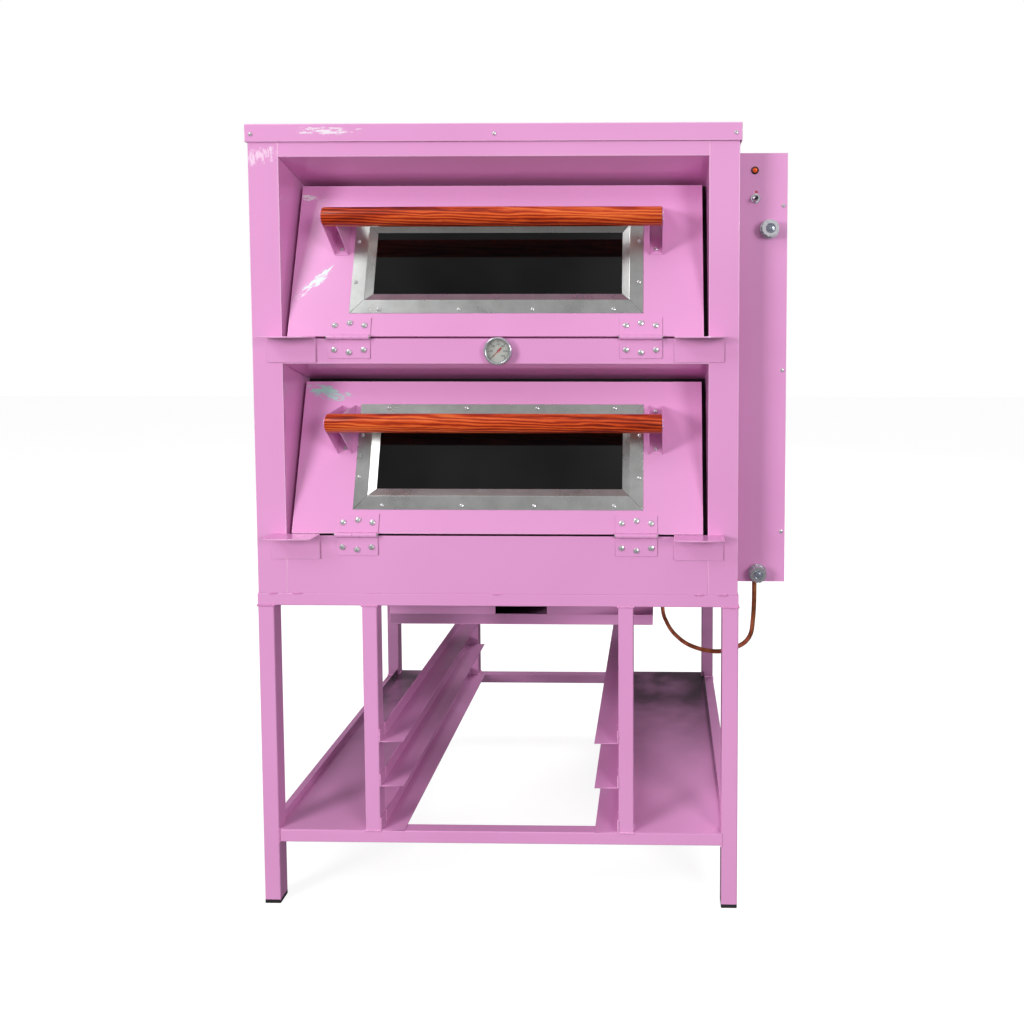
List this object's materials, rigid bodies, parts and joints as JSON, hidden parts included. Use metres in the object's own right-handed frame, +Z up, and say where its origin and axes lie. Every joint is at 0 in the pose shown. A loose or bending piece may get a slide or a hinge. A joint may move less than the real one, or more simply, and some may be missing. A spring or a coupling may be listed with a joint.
{
  "type": "two-deck gas baking oven on a stand",
  "caption": "Gas deck oven in enamelled sheet steel on a welded tube stand, with leaning drop-down glazed doors over trays and side shelves.",
  "frame": {"origin": "centre of the whole oven's footprint, at floor level", "axes": "+X to the oven's right with the control box on that side, +Y towards the back, +Z up"},
  "size_m": [1.0544, 0.848, 1.652],
  "materials": {
    "body_paint": "glossy baked enamel",
    "zinc_sheet": "plain galvanised sheet",
    "stainless_sheet": "bright folded stainless sheet",
    "screw_steel": "bright zinc plate",
    "hearth_steel": "dark scale steel",
    "rack_wire": "plated wire",
    "mineral_wool": "fibrous wool",
    "oven_glass": "heat-resisting glass",
    "thermometer_glass": "clear glass",
    "varnished_wood": "red-brown varnish",
    "knob_chrome": "plated moulding",
    "black_plastic": "moulded black plastic",
    "burner_iron": "dark cast iron",
    "copper": "drawn copper tube",
    "brass": "machined brass",
    "dial_face": "printed dial",
    "bezel_chrome": "polished bezel",
    "needle_paint": "red paint"
  },
  "bodies": {
    "oven": {"fixed_hinge_leaves": "body_paint", "hinge_pins": "screw_steel", "door_rests": "body_paint", "stand_uprights": "body_paint", "foot_caps": "black_plastic", "stand_rails": "body_paint", "tray_rails": "body_paint", "side_shelves": "body_paint", "left_side_panel": "body_paint", "right_side_panel": "body_paint", "back_panel": "body_paint", "lid": "body_paint", "header_panel": "body_paint", "middle_fascia": "body_paint", "bottom_fascia": "body_paint", "floor_pan": "zinc_sheet", "front_frames": "zinc_sheet", "lower_chamber_liner": "zinc_sheet", "upper_chamber_liner": "zinc_sheet", "hearth_plates": "hearth_steel", "wire_racks": "rack_wire", "insulation_blocks": "mineral_wool", "burner_box": "body_paint", "burner_pipe": "burner_iron", "flue_neck": "stainless_sheet", "flue_flange": "stainless_sheet", "flue_collar": "stainless_sheet", "control_box": "body_paint", "control_cover": "body_paint", "pilot_lamp": "black_plastic", "toggle_switch_body": "screw_steel", "thermostat_body": "brass", "gas_valve_body": "brass", "gas_manifold": "brass", "copper_gas_pipe": "copper", "brass_fittings": "brass", "thermometer_case": "bezel_chrome", "thermometer_dial": "dial_face", "thermometer_lens": "thermometer_glass", "case_screws": "screw_steel"},
    "upper_door": {"upper_door_skin": "body_paint", "upper_door_inner_panel": "zinc_sheet", "upper_door_insulation": "mineral_wool", "upper_door_screws": "screw_steel", "upper_window_trim": "stainless_sheet", "upper_window_glass": "oven_glass", "upper_handle_brackets": "body_paint", "upper_handle_bar": "varnished_wood", "upper_hinge_leaves": "body_paint"},
    "lower_door": {"lower_door_skin": "body_paint", "lower_door_inner_panel": "zinc_sheet", "lower_door_insulation": "mineral_wool", "lower_door_screws": "screw_steel", "lower_window_trim": "stainless_sheet", "lower_window_glass": "oven_glass", "lower_handle_brackets": "body_paint", "lower_handle_bar": "varnished_wood", "lower_hinge_leaves": "body_paint"},
    "thermostat_knob": {"thermostat_knob": "knob_chrome"},
    "gas_valve_knob": {"gas_valve_knob": "knob_chrome"},
    "toggle_lever": {"toggle_lever": "screw_steel"},
    "thermometer_needle": {"thermometer_needle": "needle_paint"}
  },
  "joints": [
    {"name": "upper_door_hinge", "type": "hinge", "parent": "oven", "child": "upper_door", "pos_m": [-0.0468, -0.381, 1.143], "axis": [1, 0, 0], "range_deg": [0, 110.4]},
    {"name": "lower_door_hinge", "type": "hinge", "parent": "oven", "child": "lower_door", "pos_m": [-0.0468, -0.381, 0.755], "axis": [1, 0, 0], "range_deg": [0, 110.4]},
    {"name": "thermostat_knob_turn", "type": "hinge", "parent": "oven", "child": "thermostat_knob", "pos_m": [0.4912, -0.316, 1.357], "axis": [0, 1, 0], "range_deg": [0, 270]},
    {"name": "gas_valve_knob_turn", "type": "hinge", "parent": "oven", "child": "gas_valve_knob", "pos_m": [0.4722, -0.316, 0.666], "axis": [0, 1, 0], "range_deg": [0, 180]},
    {"name": "toggle_lever_throw", "type": "hinge", "parent": "oven", "child": "toggle_lever", "pos_m": [0.4632, -0.3215, 1.418], "axis": [-1, 0, 0], "range_deg": [0, 24]},
    {"name": "thermometer_needle_sweep", "type": "hinge", "parent": "oven", "child": "thermometer_needle", "pos_m": [-0.0388, -0.376, 1.116], "axis": [0, 1, 0], "range_deg": [0, 270]}
  ]
}
